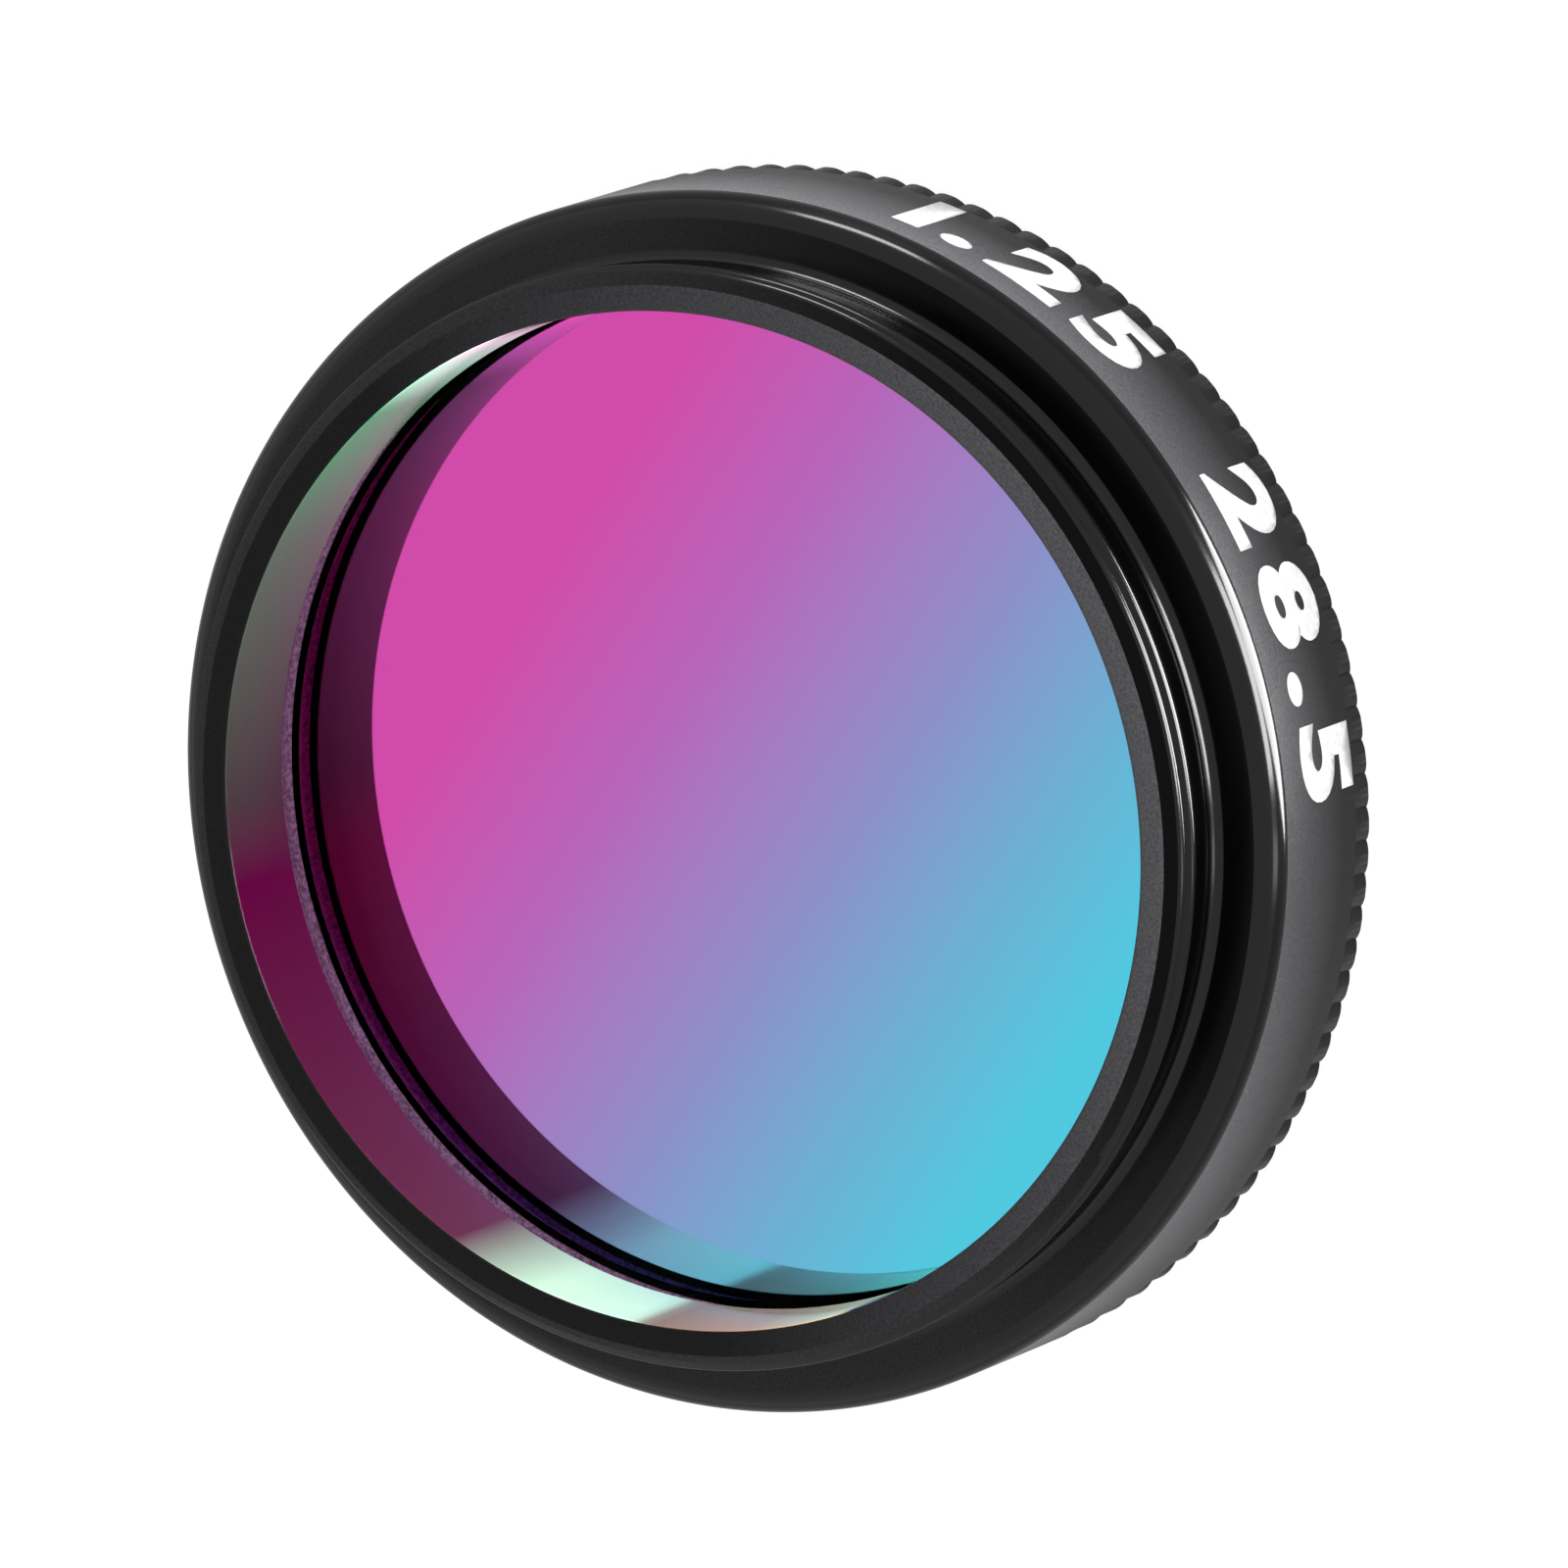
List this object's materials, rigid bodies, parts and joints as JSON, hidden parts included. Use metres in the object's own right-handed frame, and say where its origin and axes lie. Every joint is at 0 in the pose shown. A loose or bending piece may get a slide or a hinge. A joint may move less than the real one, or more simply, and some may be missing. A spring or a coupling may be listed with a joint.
{
  "type": "screw-in optical bandpass filter",
  "caption": "Round bandpass filter for a telescope eyepiece: coated glass held by a slotted ring in a black turned cell with a male and a female thread.",
  "frame": {"origin": "centre of the rear face, on the optical axis", "axes": "+Z along the optical axis, out of the male thread; the part is round about Z, and -Y faces the picture's camera"},
  "size_m": [0.0316, 0.0316, 0.0078],
  "materials": {
    "black_anodised": "turned and black anodised, semi-gloss",
    "coated_glass": "polished, with a multilayer interference coating that reflects pink to cyan",
    "white_ink": "white printed marks on the outer wall"
  },
  "bodies": {
    "root": {"filter_cell": "black_anodised", "filter_glass": "coated_glass", "retaining_ring": "black_anodised"}
  },
  "joints": []
}
